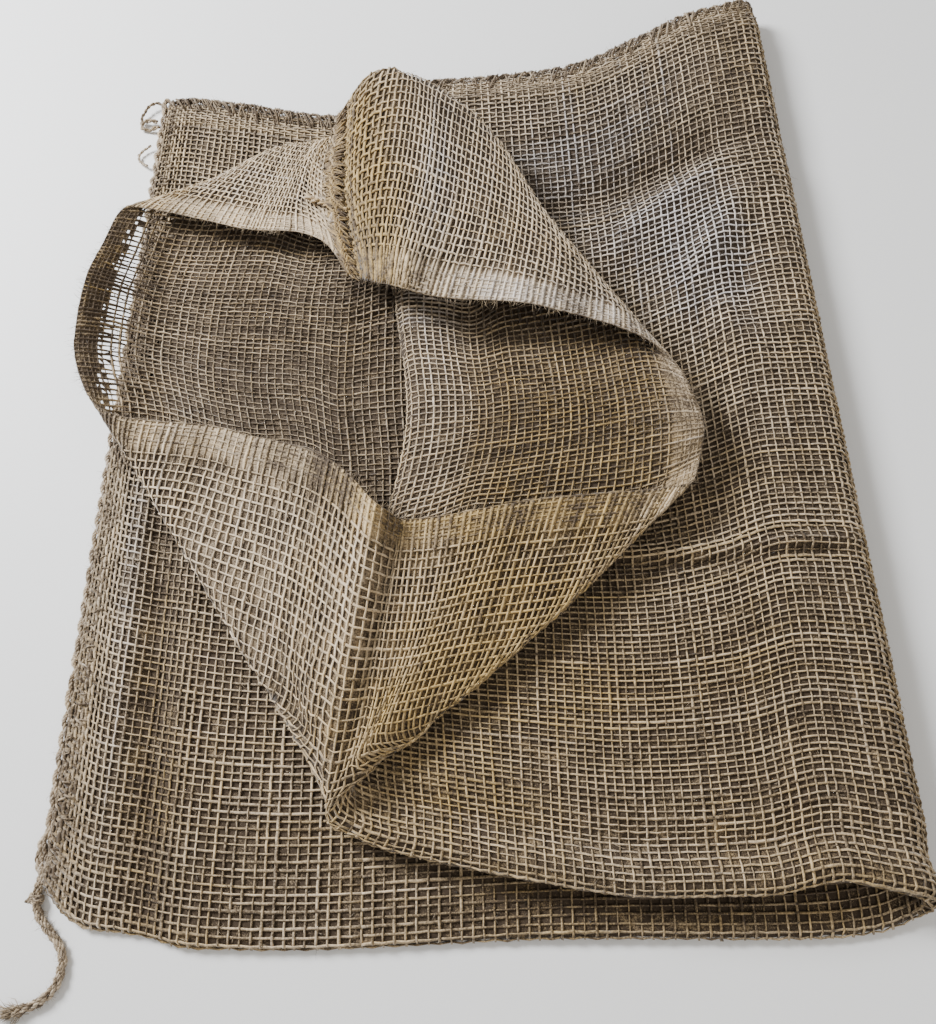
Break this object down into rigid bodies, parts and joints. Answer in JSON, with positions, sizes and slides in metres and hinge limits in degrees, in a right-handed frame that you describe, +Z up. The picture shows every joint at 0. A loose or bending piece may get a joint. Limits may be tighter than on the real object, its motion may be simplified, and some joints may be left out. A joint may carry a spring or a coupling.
{
  "type": "jute sack",
  "caption": "Empty open-weave jute sack lying flat, folded in half, with its mouth turned open and a loose end of seam twine.",
  "frame": {"origin": "middle of the sack's footprint, on the surface it lies on", "axes": "+X from the bottom seam towards the half fold, +Y from the near crease towards the side seam, +Z up"},
  "size_m": [0.4155, 0.569, 0.0588],
  "materials": {
    "jute_cloth": "open plain weave of hairy undyed jute yarn, matt",
    "jute_twine": "coarse twisted undyed jute twine, matt and hairy"
  },
  "bodies": {
    "root": {"sack_cloth": "jute_cloth", "side_seam_stitching": "jute_twine", "bottom_seam_stitching": "jute_twine", "seam_tail_twine": "jute_twine"}
  },
  "joints": []
}
